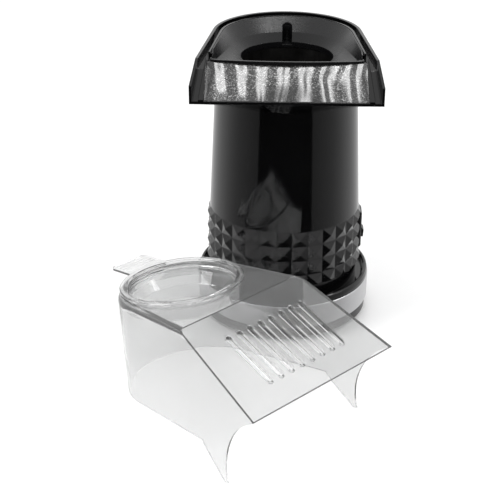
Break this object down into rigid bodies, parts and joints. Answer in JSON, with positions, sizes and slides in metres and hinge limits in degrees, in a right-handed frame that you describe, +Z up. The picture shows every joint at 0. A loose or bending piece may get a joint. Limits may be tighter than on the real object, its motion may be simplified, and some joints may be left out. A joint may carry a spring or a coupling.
{
  "type": "hot air popcorn popper",
  "caption": "Hot-air popcorn popper with a faceted black body, silver base band and open chute, and its clear vented cover and measuring cup lying beside it.",
  "frame": {"origin": "on the axis of the popping chamber, at the surface that the feet and the loose cover stand on", "axes": "+Z up along the chamber's axis, the chute opens towards -Y, the switch is on the +X side"},
  "size_m": [0.2619, 0.4393, 0.2944],
  "materials": {
    "gloss_black": "high gloss moulded black plastic",
    "black_plastic": "fine grained black plastic",
    "satin_black": "satin black plastic",
    "speckled_black": "black plastic with metallic speckle",
    "silver_band": "satin silver trim",
    "clear_plastic": "clear moulded plastic",
    "rubber": "matte",
    "screw_steel": "plated",
    "sheet_steel": "plated sheet",
    "chamber_aluminium": "satin, darkened by heat",
    "brass_tabs": "plain",
    "heater_wire": "oxidised resistance wire",
    "mica": "mica board",
    "magnet": "ferrite and carbon",
    "circuit_board": "phenolic board",
    "fan_plastic": "glass filled plastic"
  },
  "bodies": {
    "popper": {"base_bottom": "black_plastic", "rubber_feet": "rubber", "base_screws": "screw_steel", "base_dish": "gloss_black", "silver_band": "silver_band", "cord_gland": "rubber", "body_shell": "gloss_black", "switch_bezel": "black_plastic", "switch_terminals": "brass_tabs", "rocker_pin": "screw_steel", "chute_collar": "gloss_black", "funnel_bowl": "satin_black", "chute_plate": "speckled_black", "collar_screws": "screw_steel", "chamber": "chamber_aluminium", "chamber_floor": "chamber_aluminium", "air_jacket": "sheet_steel", "fan_housing": "black_plastic", "mica_frame": "mica", "heater_coil": "heater_wire", "thermostat": "sheet_steel", "thermal_fuse": "mica", "motor_can": "sheet_steel", "motor_magnets": "magnet", "motor_end_cap": "black_plastic", "motor_brushes": "magnet", "motor_bracket": "sheet_steel", "bracket_screws": "screw_steel", "rectifier_board": "circuit_board"},
    "rotor": {"motor_shaft": "screw_steel", "armature": "sheet_steel", "commutator": "brass_tabs", "fan": "fan_plastic"},
    "rocker": {"switch_rocker": "black_plastic"},
    "cover": {"cover": "clear_plastic"},
    "cup": {"measuring_cup": "clear_plastic"}
  },
  "joints": [
    {"name": "fan_spin", "type": "hinge", "parent": "popper", "child": "rotor", "pos_m": [0, 0, 0.07], "axis": [0, 0, 1], "continuous": true},
    {"name": "rocker_tilt", "type": "hinge", "parent": "popper", "child": "rocker", "pos_m": [0.075, 0, 0.09], "axis": [0, 1, 0], "range_deg": [0, 14]},
    {"name": "cover_lift", "type": "slide", "parent": "popper", "child": "cover", "axis": [-0.4504, -0.6006, 0.6606], "range_m": [0, 0.25]},
    {"name": "cup_lift", "type": "slide", "parent": "cover", "child": "cup", "axis": [-0.1099, 0.1076, 0.9881], "range_m": [0, 0.08]}
  ]
}
